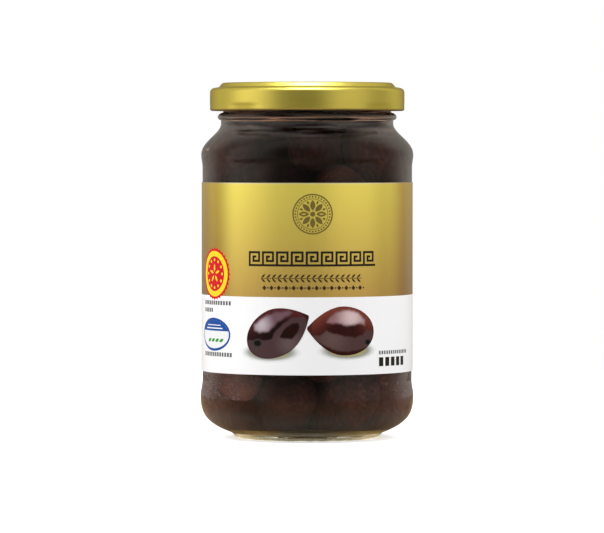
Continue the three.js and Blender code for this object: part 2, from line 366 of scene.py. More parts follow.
def close_tree(tree, copies, skin, **move):
    """Moves the copies' points, gives them their material and ends the tree."""
    moved = add(tree, "GeometryNodeSetPosition", {"Geometry": copies, **move}).outputs["Geometry"]
    finish = add(tree, "GeometryNodeSetMaterial", {"Geometry": moved, "Material": skin})
    add(tree, "NodeGroupOutput", {"Geometry": finish.outputs["Geometry"]})
    return tree


def run_tree(piece, tree, values):
    """Puts a geometry-nodes tree on an object, sets its inputs and bakes the result."""
    modifier = piece.modifiers.new("shape", "NODES")
    modifier.node_group = tree
    for item in tree.interface.items_tree:
        if item.in_out == "INPUT" and item.name in values:
            modifier[item.identifier] = values[item.name]
    return baked(piece)


# Glass


SIDES = 360  # of the glass and the lid
GLASS_BEND = 1.5
# Painted glow in the thick foot, from FOOT_HEIGHT down to the table
FOOT_HEIGHT = 1.7 * MM
FOOT_PAINTED_GLOW = (
    (0.0, (0, 0, 0)),
    (0.4, (0.05, 0.034, 0.008)),
    (0.75, (0.26, 0.24, 0.16)),
    (1.0, (0.66, 0.66, 0.56)),
)
# How much pale film there is, from the table up to FILM_HEIGHT
FILM_HEIGHT = 120 * MM
FILM = (
    (0.0, 0.04),
    (0.05, 0.04),
    (0.09, 0.0),
    (0.85, 0.0),
    (0.868, 0.055),
    (0.885, 0.055),
    (0.93, 0.15),
    (1.0, 0.1),
)
FILM_SLANT = math.radians(5)


def glass_material(settings, name, mirror, bare=False):
    """Clear glass. The mirror share dims its reflections where brine wets it."""
    made, tree, shader, place = material(name)
    tint = tuple(settings.tint)
    set_inputs(
        shader,
        Base_Color=rgba(tint),
        Roughness=0.0,
        IOR=GLASS_BEND,
        Transmission_Weight=1.0,
        Specular_Tint=rgba((mirror, mirror, mirror)),
    )
    bump(tree, shader, noise(tree, place, 90.0, 2.0), 0.00012, 0.35)
    if bare:
        height = axes_of(tree, place)["Z"]
        paint_foot_glow(tree, shader, place, height)
        cover_with_film(tree, shader, place, height, tint)
    return made


def paint_foot_glow(tree, shader, place, height):
    """Painted glow: the thick foot shines of itself, brightest at the table, in place of light
    carried down from the wall of the jar.
    """
    set_inputs(
        shader,
        Emission_Color=ramp(tree, share_between(tree, height, FOOT_HEIGHT, 0.0), FOOT_PAINTED_GLOW),
        Emission_Strength=ramp(tree, noise(tree, place, 260.0), [(0.35, 0.5), (0.7, 1.3)]),
    )


def cover_with_film(tree, shader, place, height, tint):
    """A pale film clings to the neck in slanted streaks, and thinly to the heel."""
    amount = ramp(tree, share_between(tree, height, 0.0, FILM_HEIGHT), FILM)
    slant = {"Vector": place, "Rotation": (0, FILM_SLANT, 0), "Scale": (0.06, 0.06, 1.0)}
    slanted = add(tree, "ShaderNodeMapping", slant).outputs["Vector"]
    streaks = ramp(tree, noise(tree, slanted, 700.0), [(0.4, 0.0), (0.65, 1.4)])
    film = maths(tree, "MULTIPLY", amount, streaks)
    set_inputs(
        shader,
        Transmission_Weight=maths(tree, "SUBTRACT", 1.0, film),
        Base_Color=ramp(tree, film, [(0.0, tint), (0.12, (0.66, 0.46, 0.30))]),
    )


def glass_outside(jar):
    """Half section of the outside, from under the middle up to the rim, in millimetres."""
    foot_in, foot_out, edge = jar.foot_inner / MM, jar.foot_outer / MM, jar.base_edge / MM
    low, high, panel = BUMPER_RADIUS / MM, jar.upper_bumper / MM, jar.panel / MM
    neck, bead, finish, rim = jar.neck / MM, jar.bead / MM, jar.finish / MM, RIM_Z / MM
    outline = [(0, jar.push_up / MM)]
    bend(outline, (9, jar.push_up / MM), (15, 0.7), (foot_in, 0))
    straight(outline, (foot_out, 0), 6)
    bend(outline, (23.6, 0), (25.0, 0.9), (edge, 1.9), 14)
    bend(outline, (34.2, 4.8), (low, 8.0), (low, 14.2), 26)
    bend(outline, (low, 16.4), (panel, 17.8), (panel, 20.0), 12)
    straight(outline, (panel, 92.2), 24)
    bend(outline, (panel, 94.2), (high, 95.2), (high, 96.7), 10)
    bend(outline, (high, 99.2), (34.4, 101.0), (33.0, 102.4), 12)
    bend(outline, (31.6, 103.8), (neck, 105.6), (neck, 107.2), 12)
    straight(outline, (neck, 108.5), 2)
    bend(outline, (bead + 0.4, 108.8), (bead + 0.4, 110.7), (finish, 111.2), 12)
    straight(outline, (finish, rim - 0.8), 26)
    bend(outline, (finish, rim - 0.3), (finish - 0.3, rim), (finish - 0.8, rim), 5)
    return outline


def glass_inside(jar, grow=0.0):
    """Half section of the inside, from the rim down to the floor.

    It is grown by a little for the brine, which reaches into the glass.
    """
    bore, wall, rim = jar.bore / MM + grow, (jar.panel - jar.wall) / MM + grow, RIM_Z / MM
    floor, middle = jar.floor / MM - grow, jar.floor / MM + 2.1 - grow
    outline = [(bore + 0.8, rim)]
    bend(outline, (bore + 0.3, rim), (bore, rim - 0.3), (bore, rim - 0.8), 5)
    straight(outline, (bore, 107.6), 8)
    bend(outline, (bore, 103.2), (wall, 101.6), (wall, 96.6), 22)
    straight(outline, (wall, 15.0), 26)
    bend(outline, (wall, 8.6), (28.0, floor), (19.0, floor), 20)
    bend(outline, (13.0, floor), (8.0, middle), (0, middle), 12)
    return outline


INSIDE_WAVES = 2.2  # how much stronger the waves are inside than outside


def glass_waves(z, turn, strength):
    """The slight waves of pressed glass, which die out at the base and the rim."""
    wave = 0.05 * np.sin(3 * turn + 0.05 * z) + 0.03 * np.sin(7 * turn - 0.11 * z + 1.3)
    return wave * (strength * np.clip((z - 2.5) / 4, 0, 1) * np.clip((116 - z) / 10, 0, 1))


def glass_relief(jar):
    """Threads, a stippled base edge and the slight waves of pressed glass."""

    def relief(r, z, turn):
        inner = r < np.where(z > 108, 27.3, np.where(z < 16, 33.6, jar.panel / MM - 1.0))
        inner &= z > 3.0
        wave = glass_waves(z, turn, np.where(inner, INSIDE_WAVES, 1.0))
        # Two staggered rows of bumps between the foot and the heel
        across = (r - jar.foot_outer / MM) / (jar.base_edge / MM - jar.foot_outer / MM) * 1.15
        row = np.sin(math.pi * np.clip(across, 0, 1) * 2) ** 2
        side = np.where(across > 0.5, 0.5, 0.0)
        dots = np.clip(np.cos(90 * turn + TAU * side), 0, 1) * row * (z < 1.95)
        stipple = jar.stipple / MM * dots
        # Four slanted threads, rising towards +X at the front
        along = np.mod(np.degrees(turn), 90) / 72
        middle = 114.8 + 3.2 * (along - 0.5)
        swell = np.where(along < 1, np.sqrt(np.abs(np.sin(math.pi * np.clip(along, 0, 1)))), 0)
        profile = np.exp(-(((z - middle) / 0.62) ** 2))
        rib = 1.3 * swell * profile * (r > 27.6) * (z > 111.3) * (z < 119)
        return r + wave + rib, np.maximum(z - stipple, 0)

    return relief


class JAR_OT_glass(bpy.types.Operator):
    """Turns the clear glass jar"""

    bl_idname = "jar.glass"
    bl_label = "Glass jar"

    def execute(self, context):
        jar = context.scene.jar_glass
        level = context.scene.jar_olives.brine_level / MM
        outside = glass_outside(jar)
        outline = outside + glass_inside(jar)
        glass = turned("glass_jar", outline, SIDES, glass_relief(jar))
        glass.data.materials.append(glass_material(jar, "clear_glass", 0.6, bare=True))
        glass.data.materials.append(glass_material(jar, "wet_glass", 0.02))
        wet = [i >= len(outside) and outline[i][1] < level for i in range(len(outline) - 1)]
        glass.data.polygons.foreach_set("material_index", wet * SIDES)
        keep(glass, "glass", "jar")
        return {"FINISHED"}


# Lid


def lacquer_material(settings):
    made, tree, shader, place = material("gold_lacquer")
    paler = [min(1.0, c * f) for c, f in zip(settings.gold, (1.1, 1.14, 1.25))]
    tint = mixed(tree, noise(tree, place, 55.0, 4.0), rgba(settings.gold), rgba(paler))
    # Painted shade: the underside of the curl is darker and browner
    height = axes_of(tree, place)["Z"]
    high = share_between(tree, height, LID_BOTTOM + 0.1 * MM, LID_BOTTOM + 0.7 * MM)
    grain = noise(tree, place, 900.0, 2.0)
    set_inputs(
        shader,
        Base_Color=mixed(tree, high, rgba((0.42, 0.31, 0.17)), tint),
        Roughness=ramp(tree, grain, [(0.0, 0.32), (1.0, 0.4)]),
        Metallic=1.0,
        Specular_Tint=rgba((0.4, 0.37, 0.3)),
        Coat_Weight=0.25,
        Coat_Roughness=0.12,
    )
    bump(tree, shader, grain, 0.00003, 0.3)
    return made


def lining_material():
    """The pale coating inside the lid."""
    made, tree, shader, place = material("lid_lining")
    shades = [(0.3, (0.62, 0.52, 0.36)), (0.7, (0.74, 0.64, 0.47))]
    set_inputs(shader, Base_Color=ramp(tree, noise(tree, place, 80.0), shades), Roughness=0.45)
    return made


def lid_outline(lid):
    """From under the middle, out and down inside the skirt, round the curl and over the top."""
    sheet, curl, radius = lid.sheet / MM, lid.curl / MM, LID_RADIUS / MM
    top, bottom = LID_TOP / MM, LID_BOTTOM / MM
    panel, step = lid.panel / MM, lid.step / MM
    ring = top - lid.step_height / MM
    dish, dish_edge, dish_rise = top - 0.5, 25.4, 25.9
    button = 9.0
    inner = radius - sheet
    corners = [
        (0, dish - sheet + 0.35, 0),
        (button, dish - sheet, 0.8),
        (dish_edge, dish - sheet, 0.3),
        (dish_rise, top - sheet, 0.3),
        (panel - 0.4, top - sheet, 0.3),
        (step - 0.4, ring - sheet, 0.3),
        (inner - 0.7, ring - sheet - 0.3, 0.3),
        (inner, ring - 1.7, 0.4),
        (inner, bottom + curl, 0.1),
        (radius - 1.55, bottom + curl - 0.1, 0.35),
        (radius - 1.55, bottom, 0.6),
        (radius - 0.02, bottom, 0.7),
        (radius - 0.06, bottom + 1.75, 0.35),
        (radius, bottom + 2.6, 0.5),
        (radius - 0.02, ring - 1.0, 0.75),
        (radius - 1.1, ring - 0.28, 0.5),
        (step, ring, 0.35),
        (panel, top, 0.5),
        (dish_rise, top, 0.3),
        (dish_edge, dish, 0.3),
        (button + 3.0, dish, 0.8),
        (button, dish + 0.3, 1.2),
        (0, dish + 0.35, 0),
    ]
    return rounded(corners)


LUG_ANGLES = (-41, 49, 139, 229)  # degrees from the front, towards +X
LUG_HEIGHT = 3.4


def smooth_step(share):
    """A share from 0 to 1 that starts and stops gently."""
    share = np.clip(share, 0, 1)
    return share * share * (3 - 2 * share)


def lid_relief(lid):
    """Four lugs, where the rolled edge is pushed in."""
    lugs = np.radians(LUG_ANGLES)

    def relief(r, z, turn):
        away = np.abs(np.mod(turn[..., None] - lugs + math.pi, TAU) - math.pi).min(axis=-1)
        near = smooth_step((math.radians(15) - away) / math.radians(12))
        low = smooth_step((LID_BOTTOM / MM + LUG_HEIGHT - z) / LUG_HEIGHT)
        return r - lid.lug_dent / MM * near * low, z

    return relief


class JAR_OT_lid(bpy.types.Operator):
    """Turns the twist-off lid with its curl and lugs"""

    bl_idname = "jar.lid"
    bl_label = "Lid"

    def execute(self, context):
        lid = context.scene.jar_lid
        outline = lid_outline(lid)
        piece = turned("twist_off_lid", outline, SIDES, lid_relief(lid))
        piece.data.materials.append(lacquer_material(lid))
        piece.data.materials.append(lining_material())
        r, z = np.array(outline)[:-1].T
        skirt = np.argmax(r > LID_RADIUS / MM - 0.3)
        lined = (np.arange(len(r)) < skirt) & (z > LID_BOTTOM / MM + 1.2)
        lined = np.tile(lined, SIDES).astype(np.int32)
        piece.data.polygons.foreach_set("material_index", lined)
        keep(piece, "gold_lacquer", "lid")
        return {"FINISHED"}


# Olives


OLIVE_SPREAD = 0.14  # share by which the sizes differ
GOLDEN_TURN = 2.399963  # spreads the olives evenly round the jar
SETTLING_ROUNDS = 240


def seeded(seed):
    """Random shares that are the same in every run."""
    state = seed
    while True:
        state = state * 16807 % 2147483647
        yield state / 2147483647


def inside_radius(jar):
    """Radius of the inside of the glass at given heights, both in millimetres."""
    outline = np.array(glass_inside(jar)[6:-12])[::-1]
    return lambda z: np.interp(z, outline[:, 1], outline[:, 0])


def settled_olives(olives, jar):
    """Ends, half lengths and radii of the olives, after they have pushed each other apart.

    Each olive is three balls in a row. Lengths are in millimetres.
    """
    draw = seeded(olives.seed)
    n = olives.count
    wall = (jar.panel - jar.wall) / MM
    size = np.array([1 + OLIVE_SPREAD * (next(draw) - 0.5) for _ in range(n)])
    half = olives.half_length / MM * size
    middle_r = olives.radius / MM * (0.5 + 0.5 * size)
    reach = half / 2
    end_r = middle_r * np.sqrt(1 - reach**2 / (half**2 - middle_r**2))
    start, end = np.zeros((n, 3)), np.zeros((n, 3))
    for i in range(n):
        away = (wall - 9) * math.sqrt(next(draw))
        turn = i * GOLDEN_TURN
        middle = np.array([away * math.sin(turn), away * math.cos(turn), 12 + 89 * (i + 0.5) / n])
        heading = TAU * next(draw)
        rise = 0.9 * (2 * next(draw) - 1)
        flat = math.sqrt(1 - rise * rise)
        along = np.array([flat * math.cos(heading), flat * math.sin(heading), rise])
        start[i], end[i] = middle - along * reach[i], middle + along * reach[i]
    radii = [end_r, middle_r, end_r]
    radius_at = inside_radius(jar)
    for _ in range(SETTLING_ROUNDS):
        start, end = pushed_apart(start, end, radii)
        start += inward(start, end_r, olives, jar, radius_at)
        shift = inward((start + end) / 2, middle_r, olives, jar, radius_at)
        start, end = start + shift, end + shift
        end += inward(end, end_r, olives, jar, radius_at)
        along = end - start
        span = np.linalg.norm(along, axis=1)
        error = ((span / 2 - reach) / span)[:, None] * along
        start, end = start + error, end - error
    return start, end, half, middle_r


def pushed_apart(start, end, radii):
    """Moves balls that cross apart, each end by the mean of its pushes."""
    first, second = np.triu_indices(len(start), 1)
    places = [start, (start + end) / 2, end]
    pushes = [np.zeros_like(start), np.zeros_like(start)]
    counts = [np.zeros(len(start)), np.zeros(len(start))]
    for p in range(3):
        for q in range(3):
            gap = places[q][second] - places[p][first]
            distance = np.linalg.norm(gap, axis=1)
            over = radii[p][first] + radii[q][second] - distance
            hit = over > 0
            push = gap[hit] * (0.5 * over[hit] / distance[hit])[:, None]
            for which, ball, sign in ((first[hit], p, -1), (second[hit], q, 1)):
                for side in ([0], [0, 1], [1])[ball]:
                    np.add.at(pushes[side], which, sign * push)
                    np.add.at(counts[side], which, 1)
    moved = [push / np.maximum(count, 1)[:, None] for push, count in zip(pushes, counts)]
    return start + moved[0], end + moved[1]


def inward(place, radius, olives, jar, radius_at):
    """The move that brings each ball back inside the glass."""
    reach = radius + olives.gap / MM
    away = np.hypot(place[:, 0], place[:, 1]) + 1e-9
    most, out, up = np.zeros(len(place)), np.zeros(len(place)), np.zeros(len(place))
    for tilt in np.radians(np.arange(-60, 61, 30)):
        level, steep = math.cos(tilt), math.sin(tilt)
        over = (away + reach * level - radius_at(place[:, 2] + reach * steep)) * level
        more = over > most
        most = np.where(more, over, most)
        out, up = np.where(more, level, out), np.where(more, steep, up)
    low = np.maximum(jar.floor / MM + 1.3 + reach - place[:, 2], 0)
    high = np.maximum(place[:, 2] + reach - olives.heap_top / MM, 0)
    back = -most * out / away
    return np.stack([place[:, 0] * back, place[:, 1] * back, -most * up + low - high], axis=1)


def olive_shape(slices=44, rings=26):
    """One olive of radius 1 and half length 1 along Z: a stem dimple on top, a small tip below."""
    outline = [(0, -1.035)]
    for i in range(1, rings):
        angle = math.pi * (1 - i / rings)
        z = math.cos(angle)
        r = math.sin(angle) ** 0.97 * (1 + 0.05 * z)
        tip = 0.035 * math.exp(-(((z + 1) / 0.03) ** 2))
        dimple = 0.075 * math.exp(-((r / 0.17) ** 2)) if z > 0 else 0
        outline.append((r, z - tip - dimple))
    outline.append((0, 1 - 0.075))
    return turned("olive_shape", outline, slices, unit=1.0)


def heap_tree():
    """Geometry nodes: a shape on every point, turned, sized and made a little uneven."""
    inputs = {"Shape": "Object", "Unevenness": "Float", "Material": "Material"}
    tree, given = new_tree("olive_heap", inputs)
    shape = add(tree, "GeometryNodeObjectInfo", {"Object": given["Shape"]}).outputs["Geometry"]

    def named(name, kind="FLOAT_VECTOR"):
        node = add(tree, "GeometryNodeInputNamedAttribute", {"Name": name}, data_type=kind)
        return next(output for output in node.outputs if output.enabled)

    turn = add(tree, "FunctionNodeEulerToRotation", {"Euler": named("turn")}).outputs["Rotation"]
    copies = real_copies(tree, given["Geometry"], shape, turn, Scale=named("size"))
    own = maths(tree, "MULTIPLY", named("tone", "FLOAT"), 7.0)
    here = add(tree, "GeometryNodeInputPosition").outputs["Position"]
    swell = {"Vector": here, "W": own, "Scale": 95.0, "Detail": 1.5}
    swell = add(tree, "ShaderNodeTexNoise", swell, noise_dimensions="4D").outputs["Fac"]
    amount = maths(tree, "MULTIPLY", maths(tree, "SUBTRACT", swell, 0.55), given["Unevenness"])
    outward = {0: add(tree, "GeometryNodeInputNormal").outputs["Normal"], "Scale": amount}
    offset = add(tree, "ShaderNodeVectorMath", outward, operation="SCALE").outputs["Vector"]
    return close_tree(tree, copies, given["Material"], Offset=offset)


def scattered(name, shape, skin, tree, unevenness, places, turns, sizes, tones):
    """One piece from copies of a shape, each with its place, turn, size and tone."""
    points = bpy.data.meshes.new(name)
    points.from_pydata(places, [], [])
    for key, vectors in (("turn", turns), ("size", sizes)):
        numbers = [number for vector in vectors for number in vector]
        points.attributes.new(key, "FLOAT_VECTOR", "POINT").data.foreach_set("vector", numbers)
    points.attributes.new("tone", "FLOAT", "POINT").data.foreach_set("value", tones)
    piece = bpy.data.objects.new(name, points)
    bpy.context.scene.collection.objects.link(piece)
    shape.data.materials.append(skin)
    run_tree(piece, tree, {"Shape": shape, "Unevenness": unevenness, "Material": skin})
    bpy.data.objects.remove(shape)
    piece.data.polygons.foreach_set("use_smooth", [True] * len(piece.data.polygons))
    return piece


def olive_material(olives):
    made, tree, shader, place = material("olive_skin")
    tone = add(tree, "ShaderNodeAttribute", attribute_name="tone").outputs["Fac"]
    blotches = noise(tree, place, 130.0, 4.0, 0.6)
    freckles = noise(tree, place, 900.0, 2.0)
    spread = maths(tree, "MULTIPLY_ADD", blotches, 0.9, -0.45)
    # The tone carries random ripeness and the painted shade behind the shoulder
    ripeness_and_shade = maths(tree, "ADD", tone, spread, clamped=True)
    skins = [(0.0, tuple(olives.dark)), (0.45, (0.068, 0.022, 0.016)), (1.0, tuple(olives.red))]
    flecks = ramp(tree, freckles, [(0.45, 0.85), (0.75, 1.6)])
    set_inputs(
        shader,
        Base_Color=multiplied(tree, ramp(tree, ripeness_and_shade, skins), flecks),
        Roughness=ramp(tree, blotches, [(0.2, 0.4), (0.8, 0.6)]),
        IOR=1.45,
        Specular_IOR_Level=0.0,
    )
    bump(tree, shader, maths(tree, "ADD", blotches, freckles), 0.0002, 0.5)
    return made


def bubble_material():
    """Painted reflection: air in brine mirrors most of the light that meets it, and a pale diffuse
    colour stands in for that.
    """
    made, tree, shader, place = material("air_bubble")
    shades = [(0.35, (0.22, 0.15, 0.13)), (0.65, (0.5, 0.4, 0.36))]
    set_inputs(shader, Base_Color=ramp(tree, noise(tree, place, 300.0), shades), Roughness=0.25)
    return made


# The cloud's gold, its painted light from left to right, and how it browns towards its top
CLOUD_GOLD = ((0.35, (0.30, 0.17, 0.045)), (0.5, (0.55, 0.35, 0.09)), (0.65, (0.85, 0.60, 0.20)))
CLOUD_WIDTH = 56 * MM
CLOUD_PAINTED_LIGHT = (
    (0.0, 0.9),
    (0.18, 0.66),
    (0.36, 0.13),
    (0.5, 0.05),
    (0.62, 0.07),
    (0.8, 0.35),
    (1.0, 0.6),
)
CLOUD_BROWNING = ((0.0, 0.0), (0.35, 0.62), (1.0, 0.93))


def glowing_sediment_material():
    """A glowing cloud with painted light: golden and bright at the sides, in place of light through
    the thin sides, and brown in the middle and higher up.
    """
    made, tree, shader, place = material("sediment")
    gold = ramp(tree, noise(tree, place, 60.0, 4.0, 0.65), CLOUD_GOLD)
    axes = axes_of(tree, place)
    aside = maths(tree, "ADD", maths(tree, "MULTIPLY", axes["X"], 1 / CLOUD_WIDTH), 0.5)
    high = share_between(tree, axes["Z"], 4.6 * MM, 8.5 * MM)
    shade = mixed(tree, ramp(tree, high, CLOUD_BROWNING), gold, rgba((0.05, 0.035, 0.02)))
    shade = multiplied(tree, shade, ramp(tree, aside, CLOUD_PAINTED_LIGHT))
    # Painted glow: the cloud shines in its own colour, bright at the sides and dark in the middle
    set_inputs(
        shader,
        Base_Color=shade,
        Emission_Color=shade,
        Emission_Strength=0.7,
        Roughness=0.8,
        Specular_IOR_Level=0.0,
    )
    bump(tree, shader, noise(tree, place, 700.0), 0.0002, 0.6)
    return made


BRINE_BEND = 1.34
BRINE_DEPTH = 60.0  # how fast light takes on the brine's colour


def brine_material(olives):
    made, tree, shader, _ = material("brine")
    set_inputs(
        shader,
        Base_Color=rgba((1, 1, 1)),
        Roughness=0.0,
        IOR=BRINE_BEND,
        Transmission_Weight=1.0,
        Specular_Tint=rgba((0.0, 0.0, 0.0)),
    )
    tint = {"Color": rgba(olives.brine), "Density": BRINE_DEPTH}
    cloud = {
        "Color": rgba((1.0, 0.86, 0.66)),
        "Density": olives.cloudiness,
        "Anisotropy": 0.2,
    }
    tint = add(tree, "ShaderNodeVolumeAbsorption", tint).outputs["Volume"]
    cloud = add(tree, "ShaderNodeVolumeScatter", cloud).outputs["Volume"]
    both = add(tree, "ShaderNodeAddShader", {0: tint, 1: cloud}).outputs["Shader"]
    tree.links.new(both, tree.nodes["Material Output"].inputs["Volume"])
    return made


# The plain core that the olives hide: (radius, height)
CORE_OUTLINE = ((0, 16), (9, 18), (13, 30), (14, 60), (12, 90), (8, 98), (0, 100))
# Bubbles on the glass: how many, between which azimuths in degrees and which heights
BUBBLES = (
    (70, (-74, -42), (14.0, 21.0)),
    (12, (50, 75), (14.0, 20.0)),
    (30, (100, 260), (14.0, 21.0)),
)
CLOUD_TOP = 6.0
CLOUD_THICKNESS = 0.9


class JAR_OT_olives(bpy.types.Operator):
    """Settles the olives and fills the jar with them, their core and the brine"""

    bl_idname = "jar.olives"
    bl_label = "Olives and brine"

    def execute(self, context):
        olives, jar = context.scene.jar_olives, context.scene.jar_glass
        skin, scatter = olive_material(olives), heap_tree()
        self.add_heap(olives, jar, skin, scatter)
        self.add_core(skin)
        self.add_bubbles(olives, jar, scatter)
        self.add_glowing_sediment(jar)
        self.add_brine(olives, jar)
        return {"FINISHED"}

    def add_heap(self, olives, jar, skin, scatter):
        start, end, half, radius = settled_olives(olives, jar)
        middle = (start + end) / 2
        draw = seeded(olives.seed + 472)
        tones = []
        for x, _, z in middle:
            tone = next(draw) ** 1.2 * (1.15 - 0.5 * z / 100)
            # Painted shade: darker behind the middle of the shoulder
            tones.append(tone * (1 - 0.85 * math.exp(-((x / 9) ** 2)) * (z > 85)))
        heap = scattered(
            "olive_heap",
            olive_shape(),
            skin,
            scatter,
            0.0011,
            [tuple(m * MM) for m in middle],
            [Vector(b - a).to_track_quat("Z", "Y").to_euler() for a, b in zip(start, end)],
            [((r + 0.2) * MM, (r + 0.2) * MM, h * MM) for r, h in zip(radius, half)],
            tones,
        )
        keep(heap, "olive_skin", "olives")

    def add_core(self, skin):
        def uneven(r, z, turn):
            return r + 0.8 * np.sin(5 * turn + 0.3 * z), z

        core = turned("olive_core", CORE_OUTLINE, 48, uneven)
        core.data.materials.append(skin)
        core.data.attributes.new("tone", "FLOAT", "POINT")
        keep(core, "olive_skin")

    def add_bubbles(self, olives, jar, scatter):
        """Tiny air bubbles on the inside of the glass, densest low on the left."""
        draw = seeded(olives.seed + 90)
        radius_at = inside_radius(jar)
        places, sizes = [], []
        for count, (first, last), (low, high) in BUBBLES:
            for _ in range(count):
                turn = math.radians(first + (last - first) * next(draw))
                z = low + (high - low) * next(draw)
                size = 0.14 + 0.16 * next(draw) ** 2
                reach = float(radius_at(z)) - size - 0.05
                places.append((reach * math.sin(turn) * MM, -reach * math.cos(turn) * MM, z * MM))
                sizes.append([size * MM] * 3)
        still = [[0.0] * 3] * len(sizes)
        arc = [math.pi * i / 6 for i in range(7)]
        ball = turned("bubble", [(math.sin(a), -math.cos(a)) for a in arc], 10, unit=1.0)
        air, tones = bubble_material(), [0.0] * len(sizes)
        bubbles = scattered("air_bubbles", ball, air, scatter, 0.0, places, still, sizes, tones)
        keep(bubbles, "glass")

    def add_glowing_sediment(self, jar):
        """A fine golden cloud on the floor of the jar, whose painted glow stands in for light
        through the base.
        """
        skin = [p for p in glass_inside(jar, grow=-0.25) if p[1] < CLOUD_TOP][::-1]
        back = [(max(r - CLOUD_THICKNESS, 0.0), z + 0.35) for r, z in skin][::-1]

        def ragged(r, z, turn):
            rise = 0.5 * np.sin(5 * turn + 1) + 0.35 * np.sin(13 * turn)
            rise += 0.2 * np.sin(31 * turn + 2)
            return r, z + rise * np.clip((r - 22) / 8, 0, 1) * np.clip((z - 5) / 3, 0, 1)

        sediment = turned("sediment", skin + back, 240, ragged)
        sediment.data.materials.append(glowing_sediment_material())
        keep(sediment, "glass")

    def add_brine(self, olives, jar):
        """The liquid round the olives, which follows the waves of the glass."""

        def waves(r, z, turn):
            return r + glass_waves(z, turn, INSIDE_WAVES), z

        level = olives.brine_level / MM
        inside = [p for p in glass_inside(jar, grow=0.12) if p[1] < level][::-1]
        outline = [*inside, (jar.bore / MM - 0.4, level - 0.25), (0, level - 0.3)]
        brine = turned("brine", outline, 240, waves)
        brine.data.materials.append(brine_material(olives))
        keep(brine, "glass")


# Label


# Painted sheen on the printed gold: how bright it is by azimuth in degrees, with painted highlights
# left and right of the front and painted shade at the sides. 0 is the front, 90 is the right
GOLD_PAINTED_SHEEN = (
    (-180, (0.7, 0.66, 0.6)),
    (-100, (0.55, 0.48, 0.36)),
    (-72, (0.44, 0.36, 0.22)),
    (-60, (0.58, 0.50, 0.36)),
    (-43, (0.93, 0.95, 0.93)),
    (-28, (0.88, 0.88, 0.88)),
    (-10, (0.98, 0.98, 0.98)),
    (5, (1.0, 1.0, 1.0)),
    (32, (1.0, 1.0, 1.0)),
    (48, (0.92, 0.9, 0.86)),
    (66, (0.48, 0.38, 0.22)),
    (100, (0.55, 0.48, 0.36)),
    (180, (0.7, 0.66, 0.6)),
)


def label_material(label):
    made, tree, shader, place = material("printed_paper")
    axes = axes_of(tree, place)
    border = LABEL_BOTTOM + label.white_height
    low, high = tuple(label.gold_bottom), tuple(label.gold_top)
    golds = (
        (0.0, low),
        (0.45, blend(low, high, 0.45)),
        (0.985, high),
        (0.995, (0.86, 0.76, 0.40)),
    )
    gold = ramp(tree, share_between(tree, axes["Z"], border, LABEL_TOP), golds)
    # Painted sheen: the gold is brighter in bands and darker at the sides, by azimuth
    gold = multiplied(tree, gold, shade_round(tree, axes, GOLD_PAINTED_SHEEN))
    is_gold = maths(tree, "GREATER_THAN", axes["Z"], border)
    grain = noise(tree, place, 1600.0, 2.0)
    set_inputs(
        shader,
        Base_Color=mixed(tree, is_gold, rgba(label.white), gold),
        Metallic=maths(tree, "MULTIPLY", is_gold, 0.5),
        Roughness=maths(tree, "MULTIPLY_ADD", grain, 0.06, 0.28),
        Coat_Weight=0.06,
        Coat_Roughness=0.25,
    )
    bump(tree, shader, grain, 0.00002, 0.25)
    return made


def label_band(label):
    """The paper: a band round the jar, open at the back, with its two faces and four edges."""
    half = math.pi - label.back_gap / LABEL_RADIUS / 2
    turn = np.linspace(-half, half, 241)
    heights = np.linspace(LABEL_BOTTOM, LABEL_TOP, 13)
    vertices = []
    for r in (LABEL_RADIUS, LABEL_RADIUS - label.thickness):
        for z in heights:
            vertices += [(r * math.sin(t), -r * math.cos(t), z) for t in turn]
    columns, rows = len(turn), len(heights)
    inner = columns * rows
    faces = []
    for j in range(rows - 1):
        for i in range(columns - 1):
            a = j * columns + i
            faces.append((a, a + 1, a + 1 + columns, a + columns))
            b = a + inner
            faces.append((b, b + columns, b + 1 + columns, b + 1))
    for i in range(columns - 1):
        top = (rows - 1) * columns + i
        faces.append((i, i + inner, i + 1 + inner, i + 1))
        faces.append((top, top + 1, top + 1 + inner, top + inner))
    for j in range(rows - 1):
        low, high = j * columns, (j + 1) * columns
        faces.append((low, high, high + inner, low + inner))
        low, high = low + columns - 1, high + columns - 1
        faces.append((low, low + inner, high + inner, high))
    return new_object("label_paper", vertices, faces, sharp=40)


class JAR_OT_label(bpy.types.Operator):
    """Wraps the label's paper round the jar"""

    bl_idname = "jar.label"
    bl_label = "Label"

    def execute(self, context):
        label = context.scene.jar_label
        paper = label_band(label)
        paper.data.materials.append(label_material(label))
        keep(paper, "label_paper", "label")
        return {"FINISHED"}


# Print on the label


def box_shape(x0, z0, x1, z1):
    return [(x0, z0), (x1, z0), (x1, z1), (x0, z1)]


def disc_shape(radius, sides=24, x=0.0, squash=1.0, scallop=0.0, scallops=0):
    turns = [TAU * i / sides for i in range(sides)]
    reach = [radius * (1 + scallop * math.cos(scallops * t)) for t in turns]
    return [(x + r * math.cos(t), r * squash * math.sin(t)) for r, t in zip(reach, turns)]


def ring_shape(inner, outer, sides=48):
    """A flat ring, as a list of four-sided faces."""
    a, b = disc_shape(inner, sides), disc_shape(outer, sides)
    return [[a[i - 1], b[i - 1], b[i], a[i]] for i in range(sides)]


def leaf_shape(start, long, wide, lean=0.0, steps=7):
    """A pointed leaf that grows up from its start, leaning over by an angle in degrees."""
    shares = [i / steps for i in range(steps + 1)]
    up = [(wide / 2 * math.sin(math.pi * s) ** 0.8, long * s) for s in shares]
    outline = up + [(-x, z) for x, z in up[-2:0:-1]]
    c, s = math.cos(math.radians(lean)), math.sin(math.radians(lean))
    return [(start[0] + x * c + z * s, start[1] - x * s + z * c) for x, z in outline]


